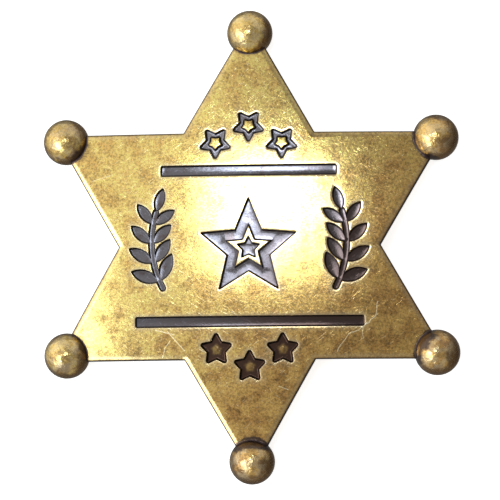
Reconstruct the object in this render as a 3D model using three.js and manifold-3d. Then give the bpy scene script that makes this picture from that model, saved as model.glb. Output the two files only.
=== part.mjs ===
import * as THREE from 'three';
import { mergeVertices } from 'three/addons/utils/BufferGeometryUtils.js';
import Module from 'manifold-3d';

// A six-pointed star badge with a ball at each point and a pin on its back.
// Sizes are in millimetres. The badge lies face up on the small flats of its balls.
// X runs to the right of the face, Y to its top point, Z out of the face.

// Ball tips
const BALL_CIRCLE_RADIUS = 28.92;
const BALL_RADIUS = 3.08;
const BALL_FLAT_RADIUS = 1.0;
const BALL_COUNT = 6;
const BALL_SIDES = 28;
const BALL_BANDS = 13;

// Star plate, bowed out to the front
const POINT_REACH = 1.63; // how far a star point runs on inside its ball
const PLATE_THICKNESS = 1.4;
const DISH_RISE = 2.8;
const FRONT_EDGE_ROUND = 0.6;
const BACK_EDGE_ROUND = 0.25;
const EDGE_ROUND_STEPS = 3;
const PLATE_GRID = 7;

// Sunken figures
const RELIEF_DEPTH = 0.5;
const WALL_SLOPE = 0.14; // how far a wall leans in at its foot
const WALL_FOOT = 0.3; // height of the leaning part
const CUTTER_HEADROOM = 0.5;

// Bars over and under the middle figure
const BAR_WIDTH = 1.4;
const BAR_CENTRE_Y = 10.15;
const UPPER_BAR_LENGTH = 23.65;
const LOWER_BAR_LENGTH = 30.75;
const BAR_STEP = 1.6;

// Small stars, three over and three under
const SMALL_STAR_RADIUS = 2.2;
const SMALL_STAR_WAIST = 0.53; // share of the radius
const SIDE_STAR_X = 4.48;
const SIDE_STAR_Y = 13.9;
const MIDDLE_STAR_Y = 16.2;
const UPPER_BOSS_RADIUS = 0.6;
const LOWER_BOSS_RADIUS = 0.45;
const LOWER_BOSS_HEIGHT = 0.3;
const BOSS_SIDES = 10;

// Big star in the middle, drawn as a sunken band
const STAR_POINTS = 5;
const BIG_STAR_RADIUS = 6.7;
const BIG_STAR_WAIST = 0.45; // share of the radius
const BIG_STAR_BAND = 1.35;
const BIG_STAR_DROP = 0.35; // its middle lies this far under the badge's
const HEART_STAR_RADIUS = 1.5;

// Leaf sprays at both sides of the big star
const SPRAY_CENTRE_X = -0.45;
const SPRAY_CENTRE_Y = 0.6;
const SPRAY_CURVE_RADIUS = 13.6;
const SPRAY_START_ANGLE = -27;
const SPRAY_END_ANGLE = 17;
const SPRAY_PAIRS = 4;
const SPRAY_FIRST_PAIR = 0.36; // in steps from one pair to the next
const SPRAY_STEM_WIDTH = 0.75;
const LEAF_LENGTH = 3.9;
const LEAF_WIDTH = 1.6;
const LEAF_SPREAD_ANGLE = 47;
const LEAF_TIP_SHRINK = 0.2; // share lost from the first pair to the last
const LEAF_OFFSET = 0.2;
const LEAF_STEPS = 6;

// Pin on the back
const PIN_GAP = 0.3; // between the strip and the back of the plate
const PIN_Y = 5.0;
const STRIP_LENGTH = 30.0;
const STRIP_WIDTH = 5.2;
const STRIP_THICKNESS = 0.8;
const STRIP_CORNER = 1.2;
const STRIP_CORNER_STEPS = 4;
const STRIP_STEP = 2.0;
const STEM_RADIUS = 0.5;
const STEM_HEIGHT = 2.25; // of its axis over the ground
const STEM_LENGTH = 27.0;
const STEM_TAPER_LENGTH = 4.5;
const STEM_TIP_RADIUS = 0.12;
const STEM_SIDES = 16;
const LUG_X = -12.2;
const LUG_RADIUS = 1.2;
const LUG_WIDTH = 2.6;
const CATCH_X = 12.2;
const CATCH_LENGTH = 2.2;
const CATCH_CLEARANCE = 0.3;
const CATCH_WALL = 0.65;
const CATCH_MOUTH_ANGLE = 60;
const CATCH_NECK_WIDTH = 1.3;
const ROUND_STEPS = 16;

// Metal colours
const BRASS_COLOUR = '#b3914a';
const BRASS_ROUGHNESS = 0.34;
const PIN_COLOUR = '#a5905c';
const PIN_ROUGHNESS = 0.42;

// Sizes that follow from the ones above
const BALL_CENTRE_Z = Math.sqrt(BALL_RADIUS ** 2 - BALL_FLAT_RADIUS ** 2);
const STAR_TIP_RADIUS = BALL_CIRCLE_RADIUS + POINT_REACH;
const DISH_RADIUS = (BALL_CIRCLE_RADIUS ** 2 + DISH_RISE ** 2) / (2 * DISH_RISE);
const HALF_PLATE = PLATE_THICKNESS / 2;
const TURN = 2 * Math.PI;
const WELD_DISTANCE = 1e-4;

const wasm = await Module();
wasm.setup();

// Height of the plate's middle layer over the ground at a place on the badge.
function dishHeight(x, y) {
  const drop = DISH_RADIUS - Math.sqrt(DISH_RADIUS ** 2 - x * x - y * y);
  return BALL_CENTRE_Z + DISH_RISE - drop;
}

// Bends a flat geometry to the dish: heights count from the middle layer.
function bendToDish(geometry) {
  const position = geometry.getAttribute('position');
  for (let i = 0; i < position.count; i += 1) {
    const lift = dishHeight(position.getX(i), position.getY(i));
    position.setZ(i, position.getZ(i) + lift);
  }
  return geometry;
}

function toSolid(geometry) {
  const bare = geometry.clone();
  bare.deleteAttribute('normal');
  bare.deleteAttribute('uv');
  const welded = mergeVertices(bare, WELD_DISTANCE);
  const mesh = new wasm.Mesh({
    numProp: 3,
    vertProperties: new Float32Array(welded.getAttribute('position').array),
    triVerts: new Uint32Array(welded.getIndex().array),
  });
  return new wasm.Manifold(mesh);
}

function toGeometry(solid) {
  const mesh = solid.getMesh();
  const geometry = new THREE.BufferGeometry();
  const position = new Float32Array(mesh.vertProperties);
  geometry.setAttribute('position', new THREE.BufferAttribute(position, mesh.numProp));
  geometry.setIndex(new THREE.BufferAttribute(new Uint32Array(mesh.triVerts), 1));
  geometry.computeVertexNormals();
  return geometry;
}

function degrees(angle) {
  return THREE.MathUtils.degToRad(angle);
}

function onCircle(radius, angle) {
  return new THREE.Vector2(radius * Math.cos(angle), radius * Math.sin(angle));
}

// Star plate

// Corners of the star's outline, points and inner corners in turn, from the top point.
function outlineCorner(index) {
  const radius = index % 2 === 0 ? STAR_TIP_RADIUS : STAR_TIP_RADIUS / Math.sqrt(3);
  return onCircle(radius, TURN / 4 + (index * TURN) / (2 * BALL_COUNT));
}

// Rows of the edge from front to back: how far in from the outline and how high.
function edgeRows() {
  const rows = [];
  for (let k = 0; k <= EDGE_ROUND_STEPS; k += 1) {
    const angle = ((k / EDGE_ROUND_STEPS) * TURN) / 4;
    rows.push({
      inset: FRONT_EDGE_ROUND * (1 - Math.sin(angle)),
      height: HALF_PLATE - FRONT_EDGE_ROUND * (1 - Math.cos(angle)),
    });
  }
  rows.push({ inset: 0, height: -HALF_PLATE + BACK_EDGE_ROUND });
  rows.push({ inset: BACK_EDGE_ROUND, height: -HALF_PLATE });
  return rows;
}

// Fills one triangle of the star with a grid of small ones.
function addGridTriangle(points, a, b, c, scale, height, facingFront) {
  const at = (i, j) => {
    const u = i / PLATE_GRID;
    const v = j / PLATE_GRID;
    const x = a.x + (b.x - a.x) * u + (c.x - a.x) * v;
    const y = a.y + (b.y - a.y) * u + (c.y - a.y) * v;
    return [x * scale, y * scale, height];
  };
  const push = (p, q, r) => points.push(...p, ...(facingFront ? [...q, ...r] : [...r, ...q]));
  for (let i = 0; i < PLATE_GRID; i += 1) {
    for (let j = 0; j < PLATE_GRID - i; j += 1) {
      push(at(i, j), at(i + 1, j), at(i, j + 1));
      if (i + j < PLATE_GRID - 1) {
        push(at(i + 1, j), at(i + 1, j + 1), at(i, j + 1));
      }
    }
  }
}

function plateGeometry() {
  const points = [];
  const rows = edgeRows();
  const insetScale = (inset) => 1 - (2 * inset) / STAR_TIP_RADIUS;
  const middle = new THREE.Vector2(0, 0);
  const faces = [
    { row: rows[0], facingFront: true },
    { row: rows[rows.length - 1], facingFront: false },
  ];
  const cornerCount = 2 * BALL_COUNT;
  for (const { row, facingFront } of faces) {
    const scale = insetScale(row.inset);
    for (let k = 0; k < cornerCount; k += 2) {
      const before = outlineCorner(k + cornerCount - 1);
      const tip = outlineCorner(k);
      const after = outlineCorner(k + 1);
      addGridTriangle(points, tip, after, before, scale, row.height, facingFront);
      addGridTriangle(points, middle, before, after, scale, row.height, facingFront);
    }
  }
  for (let k = 0; k < cornerCount; k += 1) {
    const from = outlineCorner(k);
    const to = outlineCorner(k + 1);
    for (let i = 0; i < PLATE_GRID; i += 1) {
      const p = from.clone().lerp(to, i / PLATE_GRID);
      const q = from.clone().lerp(to, (i + 1) / PLATE_GRID);
      for (let r = 0; r + 1 < rows.length; r += 1) {
        const upper = insetScale(rows[r].inset);
        const lower = insetScale(rows[r + 1].inset);
        const pUpper = [p.x * upper, p.y * upper, rows[r].height];
        const qUpper = [q.x * upper, q.y * upper, rows[r].height];
        const pLower = [p.x * lower, p.y * lower, rows[r + 1].height];
        const qLower = [q.x * lower, q.y * lower, rows[r + 1].height];
        points.push(...pUpper, ...pLower, ...qLower);
        points.push(...pUpper, ...qLower, ...qUpper);
      }
    }
  }
  const geometry = new THREE.BufferGeometry();
  geometry.setAttribute('position', new THREE.Float32BufferAttribute(points, 3));
  return bendToDish(geometry);
}

// Ball tips

function ballGeometry(index) {
  const flatAngle = Math.asin(BALL_FLAT_RADIUS / BALL_RADIUS);
  const profile = [new THREE.Vector2(0, -BALL_CENTRE_Z)];
  for (let k = 0; k <= BALL_BANDS; k += 1) {
    const angle = flatAngle + (Math.PI - flatAngle) * (k / BALL_BANDS);
    const radius = k === BALL_BANDS ? 0 : BALL_RADIUS * Math.sin(angle);
    profile.push(new THREE.Vector2(radius, -BALL_RADIUS * Math.cos(angle)));
  }
  const geometry = new THREE.LatheGeometry(profile, BALL_SIDES);
  geometry.rotateX(TURN / 4);
  const place = onCircle(BALL_CIRCLE_RADIUS, TURN / 4 + (index * TURN) / BALL_COUNT);
  geometry.translate(place.x, place.y, BALL_CENTRE_Z);
  return geometry;
}

// Outlines of the sunken figures

function starOutline(centre, radius, waist, pointingUp) {
  const outline = [];
  const first = pointingUp ? TURN / 4 : -TURN / 4;
  for (let k = 0; k < 2 * STAR_POINTS; k += 1) {
    const reach = k % 2 === 0 ? radius : radius * waist;
    outline.push(onCircle(reach, first + (k * TURN) / (2 * STAR_POINTS)).add(centre));
  }
  return outline;
}

// How far a star's edge lies from its middle, as a share of its radius.
function edgeShare(waist) {
  const inner = onCircle(waist, TURN / (2 * STAR_POINTS));
  return inner.y / Math.hypot(1 - inner.x, inner.y);
}

// A leaf between two equal arcs, from its foot along a direction.
function leafOutline(foot, angle, length, width) {
  const outline = [];
  const side = (k, sign) => {
    const share = k / LEAF_STEPS;
    const across = sign * (width / 2) * Math.sin(Math.PI * share);
    const point = new THREE.Vector2(length * share, across);
    return point.rotateAround(new THREE.Vector2(), angle).add(foot);
  };
  for (let k = 0; k < LEAF_STEPS; k += 1) {
    outline.push(side(k, -1));
  }
  for (let k = LEAF_STEPS; k > 0; k -= 1) {
    outline.push(side(k, 1));
  }
  return outline;
}

function mirrored(outline) {
  return outline.map((point) => new THREE.Vector2(-point.x, point.y)).reverse();
}

// Outlines of the leaves on the right of the big star.
function leafOutlines() {
  const centre = new THREE.Vector2(SPRAY_CENTRE_X, SPRAY_CENTRE_Y);
  const start = degrees(SPRAY_START_ANGLE);
  const end = degrees(SPRAY_END_ANGLE);
  const outlines = [];
  const leaf = (share, spread) => {
    const angle = start + (end - start) * share;
    const direction = angle + TURN / 4 + spread;
    const size = 1 - LEAF_TIP_SHRINK * share;
    const foot = onCircle(SPRAY_CURVE_RADIUS, angle).add(centre);
    foot.add(onCircle(LEAF_OFFSET, direction));
    outlines.push(leafOutline(foot, direction, LEAF_LENGTH * size, LEAF_WIDTH * size));
  };
  for (let k = 0; k < SPRAY_PAIRS; k += 1) {
    const share = (k + SPRAY_FIRST_PAIR) / SPRAY_PAIRS;
    leaf(share, degrees(LEAF_SPREAD_ANGLE));
    leaf(share, -degrees(LEAF_SPREAD_ANGLE));
  }
  leaf(1, 0);
  return outlines;
}

// A solid that sinks an outline into the front of the plate.
function reliefCutter(outline, hole) {
  const shape = new THREE.Shape(outline);
  if (hole) {
    shape.holes.push(new THREE.Path(hole));
  }
  const height = RELIEF_DEPTH + CUTTER_HEADROOM;
  const geometry = new THREE.ExtrudeGeometry(shape, {
    depth: height - 2 * WALL_FOOT,
    steps: 1,
    bevelEnabled: true,
    bevelThickness: WALL_FOOT,
    bevelSize: WALL_SLOPE,
    bevelOffset: -WALL_SLOPE,
    bevelSegments: 1,
  });
  geometry.translate(0, 0, HALF_PLATE - RELIEF_DEPTH + WALL_FOOT);
  return toSolid(bendToDish(geometry));
}

// A solid that sinks a bar. Its place gives the point of the badge for a point of the bar.
function barCutter(length, width, place) {
  const height = RELIEF_DEPTH + CUTTER_HEADROOM;
  const steps = Math.round(length / BAR_STEP);
  const geometry = new THREE.BoxGeometry(length, width, height, steps, 1, 2);
  const position = geometry.getAttribute('position');
  for (let i = 0; i < position.count; i += 1) {
    let x = position.getX(i);
    let y = position.getY(i);
    if (position.getZ(i) < 0) {
      y -= Math.sign(y) * WALL_SLOPE;
    }
    if (position.getZ(i) < 0 && Math.abs(x) * 2 > length - BAR_STEP / 2) {
      x -= Math.sign(x) * WALL_SLOPE;
    }
    const point = place(x, y);
    position.setX(i, point.x);
    position.setY(i, point.y);
  }
  geometry.translate(0, 0, HALF_PLATE + CUTTER_HEADROOM - height / 2);
  return toSolid(bendToDish(geometry));
}

// The stem of a spray: side is 1 on the right and -1 on the left.
function stemCutter(side) {
  const start = degrees(SPRAY_START_ANGLE);
  const end = degrees(SPRAY_END_ANGLE);
  const place = (x, y) => {
    const angle = (start + end) / 2 + x / SPRAY_CURVE_RADIUS;
    const point = onCircle(SPRAY_CURVE_RADIUS - side * y, angle);
    return new THREE.Vector2(side * (point.x + SPRAY_CENTRE_X), point.y + SPRAY_CENTRE_Y);
  };
  return barCutter((end - start) * SPRAY_CURVE_RADIUS, SPRAY_STEM_WIDTH, place);
}

// A low round boss standing on the floor of a small star.
function bossSolid(centre, radius, height) {
  const floor = dishHeight(centre.x, centre.y) + HALF_PLATE - RELIEF_DEPTH;
  const root = RELIEF_DEPTH / 2;
  const profile = [
    new THREE.Vector2(0, -root),
    new THREE.Vector2(radius, -root),
    new THREE.Vector2(radius, height - WALL_SLOPE),
    new THREE.Vector2(radius - WALL_SLOPE, height),
    new THREE.Vector2(0, height),
  ];
  const geometry = new THREE.LatheGeometry(profile, BOSS_SIDES);
  geometry.rotateX(TURN / 4);
  geometry.translate(centre.x, centre.y, floor);
  return toSolid(geometry);
}

function starBodySolid() {
  let body = toSolid(plateGeometry());

  const upperPlace = (x, y) => new THREE.Vector2(x, y + BAR_CENTRE_Y);
  const lowerPlace = (x, y) => new THREE.Vector2(x, y - BAR_CENTRE_Y);
  body = body.subtract(barCutter(UPPER_BAR_LENGTH, BAR_WIDTH, upperPlace));
  body = body.subtract(barCutter(LOWER_BAR_LENGTH, BAR_WIDTH, lowerPlace));

  for (const side of [-1, 0, 1]) {
    const reach = side === 0 ? MIDDLE_STAR_Y : SIDE_STAR_Y;
    const upper = new THREE.Vector2(side * SIDE_STAR_X, reach);
    const lower = new THREE.Vector2(side * SIDE_STAR_X, -reach);
    const upperOutline = starOutline(upper, SMALL_STAR_RADIUS, SMALL_STAR_WAIST, false);
    const lowerOutline = starOutline(lower, SMALL_STAR_RADIUS, SMALL_STAR_WAIST, true);
    body = body.subtract(reliefCutter(upperOutline));
    body = body.subtract(reliefCutter(lowerOutline));
    body = body.add(bossSolid(upper, UPPER_BOSS_RADIUS, RELIEF_DEPTH));
    body = body.add(bossSolid(lower, LOWER_BOSS_RADIUS, LOWER_BOSS_HEIGHT));
  }

  const bigCentre = new THREE.Vector2(0, -BIG_STAR_DROP);
  const innerRadius = BIG_STAR_RADIUS - BIG_STAR_BAND / edgeShare(BIG_STAR_WAIST);
  const outer = starOutline(bigCentre, BIG_STAR_RADIUS, BIG_STAR_WAIST, true);
  const inner = starOutline(bigCentre, innerRadius, BIG_STAR_WAIST, true);
  const heart = starOutline(bigCentre, HEART_STAR_RADIUS, SMALL_STAR_WAIST, true);
  body = body.subtract(reliefCutter(outer, inner));
  body = body.subtract(reliefCutter(heart));

  for (const outline of leafOutlines()) {
    body = body.subtract(reliefCutter(outline));
    body = body.subtract(reliefCutter(mirrored(outline)));
  }
  body = body.subtract(stemCutter(1)).subtract(stemCutter(-1));

  for (let k = 0; k < BALL_COUNT; k += 1) {
    body = body.add(toSolid(ballGeometry(k)));
  }
  return body;
}

// Pin on the back

function stripSolid() {
  const steps = Math.round(STRIP_LENGTH / STRIP_STEP);
  const box = new THREE.BoxGeometry(STRIP_LENGTH, STRIP_WIDTH, STRIP_THICKNESS, steps, 2, 1);
  box.translate(0, PIN_Y, -HALF_PLATE - PIN_GAP - STRIP_THICKNESS / 2);
  const halfLength = STRIP_LENGTH / 2;
  const halfWidth = STRIP_WIDTH / 2;
  const shape = new THREE.Shape();
  for (const [k, x, y] of [[0, 1, 1], [1, -1, 1], [2, -1, -1], [3, 1, -1]]) {
    for (let i = 0; i <= STRIP_CORNER_STEPS; i += 1) {
      const angle = ((k + i / STRIP_CORNER_STEPS) * TURN) / 4;
      const point = onCircle(STRIP_CORNER, angle);
      point.x += x * (halfLength - STRIP_CORNER);
      point.y += y * (halfWidth - STRIP_CORNER);
      if (k === 0 && i === 0) {
        shape.moveTo(point.x, point.y);
      } else {
        shape.lineTo(point.x, point.y);
      }
    }
  }
  shape.closePath();
  const rounded = new THREE.ExtrudeGeometry(shape, {
    depth: BALL_CENTRE_Z + DISH_RISE,
    steps: 1,
    bevelEnabled: false,
  });
  rounded.translate(0, PIN_Y, 0);
  return toSolid(bendToDish(box)).intersect(toSolid(rounded));
}

// Height of the middle of the strip's thickness over the ground.
function stripHeight(x) {
  return dishHeight(x, PIN_Y) - HALF_PLATE - PIN_GAP - STRIP_THICKNESS / 2;
}

function stemSolid() {
  const profile = [
    new THREE.Vector2(0, 0),
    new THREE.Vector2(STEM_RADIUS, 0),
    new THREE.Vector2(STEM_RADIUS, STEM_LENGTH - STEM_TAPER_LENGTH),
    new THREE.Vector2(STEM_TIP_RADIUS, STEM_LENGTH),
    new THREE.Vector2(0, STEM_LENGTH),
  ];
  const geometry = new THREE.LatheGeometry(profile, STEM_SIDES);
  geometry.rotateZ(-TURN / 4);
  geometry.translate(LUG_X, PIN_Y, STEM_HEIGHT);
  return toSolid(geometry);
}

// A block with a round foot that holds the end of the stem.
function lugSolid() {
  const shape = new THREE.Shape();
  const top = stripHeight(LUG_X) - STEM_HEIGHT;
  shape.moveTo(-LUG_RADIUS, top);
  for (let k = 0; k <= ROUND_STEPS; k += 1) {
    const point = onCircle(LUG_RADIUS, TURN / 2 + (k / ROUND_STEPS) * (TURN / 2));
    shape.lineTo(point.x, point.y);
  }
  shape.lineTo(LUG_RADIUS, top);
  shape.closePath();
  const geometry = new THREE.ExtrudeGeometry(shape, {
    depth: LUG_WIDTH,
    steps: 1,
    bevelEnabled: false,
  });
  geometry.rotateX(TURN / 4);
  geometry.translate(LUG_X, PIN_Y + LUG_WIDTH / 2, STEM_HEIGHT);
  return toSolid(geometry);
}

// An open hook around the stem with its top grown up into the strip.
function catchSolid() {
  const innerRadius = STEM_RADIUS + CATCH_CLEARANCE;
  const outerRadius = innerRadius + CATCH_WALL;
  const halfMouth = degrees(CATCH_MOUTH_ANGLE) / 2;
  const outline = [];
  const span = TURN - 2 * halfMouth;
  for (let k = 0; k <= ROUND_STEPS; k += 1) {
    outline.push(onCircle(outerRadius, TURN / 2 + halfMouth + (span * k) / ROUND_STEPS));
  }
  for (let k = ROUND_STEPS; k >= 0; k -= 1) {
    outline.push(onCircle(innerRadius, TURN / 2 + halfMouth + (span * k) / ROUND_STEPS));
  }
  const geometry = new THREE.ExtrudeGeometry(new THREE.Shape(outline), {
    depth: CATCH_LENGTH,
    steps: 1,
    bevelEnabled: false,
  });
  geometry.rotateX(TURN / 4);
  geometry.rotateZ(TURN / 4);
  geometry.translate(CATCH_X - CATCH_LENGTH / 2, PIN_Y, STEM_HEIGHT);
  const neckTop = stripHeight(CATCH_X) - STEM_HEIGHT;
  const neckFoot = innerRadius + CATCH_WALL / 2;
  const neck = new THREE.BoxGeometry(CATCH_LENGTH, CATCH_NECK_WIDTH, neckTop - neckFoot);
  neck.translate(CATCH_X, PIN_Y, STEM_HEIGHT + (neckTop + neckFoot) / 2);
  return toSolid(geometry).add(toSolid(neck));
}

function pinBackSolid() {
  return stripSolid().add(lugSolid()).add(stemSolid()).add(catchSolid());
}

// The whole badge

function piece(name, solid, colour, roughness) {
  const material = new THREE.MeshStandardMaterial({
    color: colour,
    roughness,
    metalness: 1,
    flatShading: true,
  });
  const mesh = new THREE.Mesh(toGeometry(solid), material);
  mesh.name = name;
  return mesh;
}

const badge = new THREE.Group();
badge.name = 'star_badge';
badge.add(piece('star_body', starBodySolid(), BRASS_COLOUR, BRASS_ROUGHNESS));
badge.add(piece('pin_back', pinBackSolid(), PIN_COLOUR, PIN_ROUGHNESS));

export default badge;
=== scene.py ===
import math
from functools import partial
from types import SimpleNamespace

import bmesh
import bpy
import numpy as np
from mathutils import Matrix, Vector
from mathutils.geometry import delaunay_2d_cdt


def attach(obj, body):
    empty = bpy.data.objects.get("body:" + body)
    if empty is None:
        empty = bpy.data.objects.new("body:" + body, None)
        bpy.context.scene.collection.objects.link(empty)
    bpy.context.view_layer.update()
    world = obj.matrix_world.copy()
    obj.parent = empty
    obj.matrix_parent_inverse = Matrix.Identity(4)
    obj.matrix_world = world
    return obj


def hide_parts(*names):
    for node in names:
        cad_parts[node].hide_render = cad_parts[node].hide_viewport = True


bl_info = {
    "name": "Star Badge",
    "version": (1, 0, 0),
    "blender": (4, 5, 0),
    "location": "View3D > Sidebar > Star Badge",
    "description": "Six-pointed brass star badge with ball tips and sunken figures",
    "category": "Object",
}

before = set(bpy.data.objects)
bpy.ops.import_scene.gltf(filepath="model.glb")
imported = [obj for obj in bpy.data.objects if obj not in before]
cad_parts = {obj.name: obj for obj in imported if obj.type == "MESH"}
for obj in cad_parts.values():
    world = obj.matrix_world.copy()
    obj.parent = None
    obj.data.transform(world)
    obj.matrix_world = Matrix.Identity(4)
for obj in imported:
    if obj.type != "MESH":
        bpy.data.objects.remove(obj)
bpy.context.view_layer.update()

MM = 0.001
BALL_COUNT = 6
SMALL_STAR_POINTS = 5


# Sizes and colours

def number(name, description, value, **kind):
    return bpy.props.FloatProperty(name=name, description=description, default=value, **kind)


def length(name, description, value):
    """A length that is given in millimetres and kept in metres."""
    return number(name, description, value * MM, subtype="DISTANCE", unit="LENGTH", precision=5)


def share(name, description, value):
    return number(name, description, value, subtype="FACTOR")


def turn(name, description, value):
    return number(name, description, math.radians(value), subtype="ANGLE", unit="ROTATION")


def colour(name, description, value):
    return bpy.props.FloatVectorProperty(
        name=name, description=description, default=value, subtype="COLOR",
        size=3, min=0.0, max=1.0,
    )


class BadgeSizes(bpy.types.PropertyGroup):
    """Sizes of the star, its balls and its sunken figures."""

    ball_circle: length("Ball circle", "Radius of the circle the balls stand on", 28.92)
    ball_radius: length("Ball radius", "Radius of a ball tip", 3.072)
    ball_flat: length("Ball flat", "Radius of the flat under a ball", 1.0)
    neck_fillet: length("Neck fillet", "Reach of the fillet between ball and plate", 0.17)
    point_reach: length("Point reach", "How far a star point runs on inside its ball", 1.63)
    plate_thickness: length("Plate thickness", "Thickness of the star plate", 1.4)
    dish_rise: length("Dish rise", "How far the middle stands over the balls' circle", 2.8)
    edge_roll: length("Edge roll", "Width over which the face leans towards its edge", 0.65)
    edge_lean: turn("Edge lean", "How far the face leans there", 17)
    edge_round: length("Edge rounding", "Rounding of the edges", 0.25)
    relief_depth: length("Relief depth", "Depth of the sunken figures", 0.5)
    shoulder: length("Shoulder", "Reach of a figure's rounded rim over the face", 0.17)
    foot: length("Foot", "Reach of a figure's wall over its floor", 0.13)
    bar_width: length("Bar width", "Width of both bars", 1.28)
    bar_y: length("Bar place", "Distance of a bar's centre line from the middle", 10.15)
    upper_bar: length("Upper bar", "Length of the upper bar", 23.65)
    lower_bar: length("Lower bar", "Length of the lower bar", 30.75)
    small_star: length("Small star", "Radius of a small star", 2.1)
    small_waist: share("Small star waist", "Inner radius of a small star's outline", 0.53)
    small_round: length("Small star rounding", "Rounding of a small star's tips", 0.24)
    side_star_x: length("Side star X", "Place of the side stars across", 4.48)
    side_star_y: length("Side star Y", "Place of the side stars up and down", 13.9)
    middle_star_y: length("Middle star Y", "Place of the middle stars", 16.2)
    upper_boss: length("Upper boss", "Radius of the star-shaped boss in an upper star", 0.92)
    boss_waist: share("Boss waist", "Inner radius of that boss's outline", 0.68)
    lower_boss: length("Lower boss", "Radius of the boss in a lower star", 0.46)
    lower_boss_height: length("Lower boss height", "Height of a lower star's boss", 0.02)
    big_star: length("Big star", "Radius of the star in the middle", 6.7)
    big_waist: share("Big star waist", "Inner radius of the big star's outline", 0.45)
    big_band: length("Big star band", "Width of the big star's sunken band", 1.35)
    big_drop: length("Big star drop", "How far the big star's middle lies low", 0.35)
    heart_star: length("Heart star", "Radius of the star inside the big one", 1.5)
    spray_x: length("Spray X", "Centre of a spray's curve across", -0.45)
    spray_y: length("Spray Y", "Centre of a spray's curve up and down", 0.6)
    spray_curve: length("Spray curve", "Radius of a spray's stem", 13.6)
    spray_start: turn("Spray start", "Where the stem starts", -27)
    spray_end: turn("Spray end", "Where the stem ends", 17)
    spray_stem: length("Spray stem", "Width of the stem", 0.75)
    leaf_length: length("Leaf length", "Length of the first leaves", 3.9)
    leaf_width: length("Leaf width", "Width of the first leaves", 1.6)
    leaf_spread: turn("Leaf spread", "Angle between a leaf and the stem", 47)


class BadgeColours(bpy.types.PropertyGroup):
    """Colours of the badge's finishes and of the stage."""

    brass: colour("Brass", "Rubbed brass of the face", (0.90, 0.66, 0.20))
    # The brown lies more towards the lower right of the face
    brown: colour("Brown brass", "Browned side of the face", (0.72, 0.41, 0.11))
    # Also a painted highlight on the figures' rims, the edge band and the balls' tops
    polish_and_sheen: colour("Polished brass", "Rims and scratches rubbed bright", (1.0, 0.88, 0.60))
    patina: colour("Patina", "Dark finish in the sunken figures", (0.143, 0.136, 0.158))
    stain: colour("Stain", "Brown stains on the figures' floors", (0.085, 0.042, 0.026))
    # Painted shade on the figures' walls, darker than their patina
    wall_shade: colour("Crevice", "Black of the narrow walls", (0.012, 0.008, 0.009))
    # Dirt with painted shade in the balls' necks and along the edge
    dirt_and_shade: colour("Smudge", "Dark dirt at the balls' necks and the edge", (0.05, 0.033, 0.037))
    # On the balls the copper stains also carry painted shade, low down and on each ball's right
    # side
    copper: colour("Copper", "Red flecks on the face and stains on the balls", (0.52, 0.27, 0.10))
    pin: colour("Pin", "Plated metal of the pin", (0.55, 0.45, 0.26))
    floor: colour("Floor", "Pale floor", (0.9, 0.9, 0.9))


def sizes():
    """The badge's sizes in millimetres, shares and radians."""
    group = bpy.context.scene.badge_sizes
    values = {}
    for key in BadgeSizes.__annotations__:
        value = getattr(group, key)
        plain = key.endswith(("waist", "start", "end", "spread", "lean"))
        values[key] = value if plain else value / MM
    values["tip_radius"] = values["ball_circle"] + values["point_reach"]
    round_share = 1 - math.sin(values["edge_lean"])
    values["edge_width"] = values["edge_roll"] + values["edge_round"] * round_share
    values["ball_z"] = math.sqrt(values["ball_radius"] ** 2 - values["ball_flat"] ** 2)
    rise = values["dish_rise"]
    values["dish_radius"] = (values["ball_circle"] ** 2 + rise ** 2) / (2 * rise)
    return SimpleNamespace(**values)


def paint(key):
    return (*getattr(bpy.context.scene.badge_colours, key), 1.0)


# Node graphs

def math_method(operation, swapped=False):
    """A method that puts a Math node on a wire and another value."""
    def apply(wire, other):
        a, b = (other, wire) if swapped else (wire, other)
        return wire.graph.math(operation, a, b)
    return apply


class Wire:
    """A socket of a node graph that takes part in arithmetic."""

    def __init__(self, graph, socket):
        self.graph = graph
        self.socket = socket

    __add__ = math_method("ADD")
    __radd__ = math_method("ADD", swapped=True)
    __sub__ = math_method("SUBTRACT")
    __rsub__ = math_method("SUBTRACT", swapped=True)
    __mul__ = math_method("MULTIPLY")
    __rmul__ = math_method("MULTIPLY", swapped=True)
    __truediv__ = math_method("DIVIDE")
    __rtruediv__ = math_method("DIVIDE", swapped=True)
    least = math_method("MINIMUM")
    most = math_method("MAXIMUM")

    def root(self):
        return self.graph.math("SQRT", self)

    def held(self):
        return self.least(1.0).most(0.0)

    def between(self, low, high):
        """0 below low, 1 above high, smooth between; low may be the larger one."""
        return self.graph.node(
            "ShaderNodeMapRange", {"Value": self, "From Min": low, "From Max": high},
            interpolation_type="SMOOTHSTEP", clamp=True,
        )["Result"]


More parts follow.
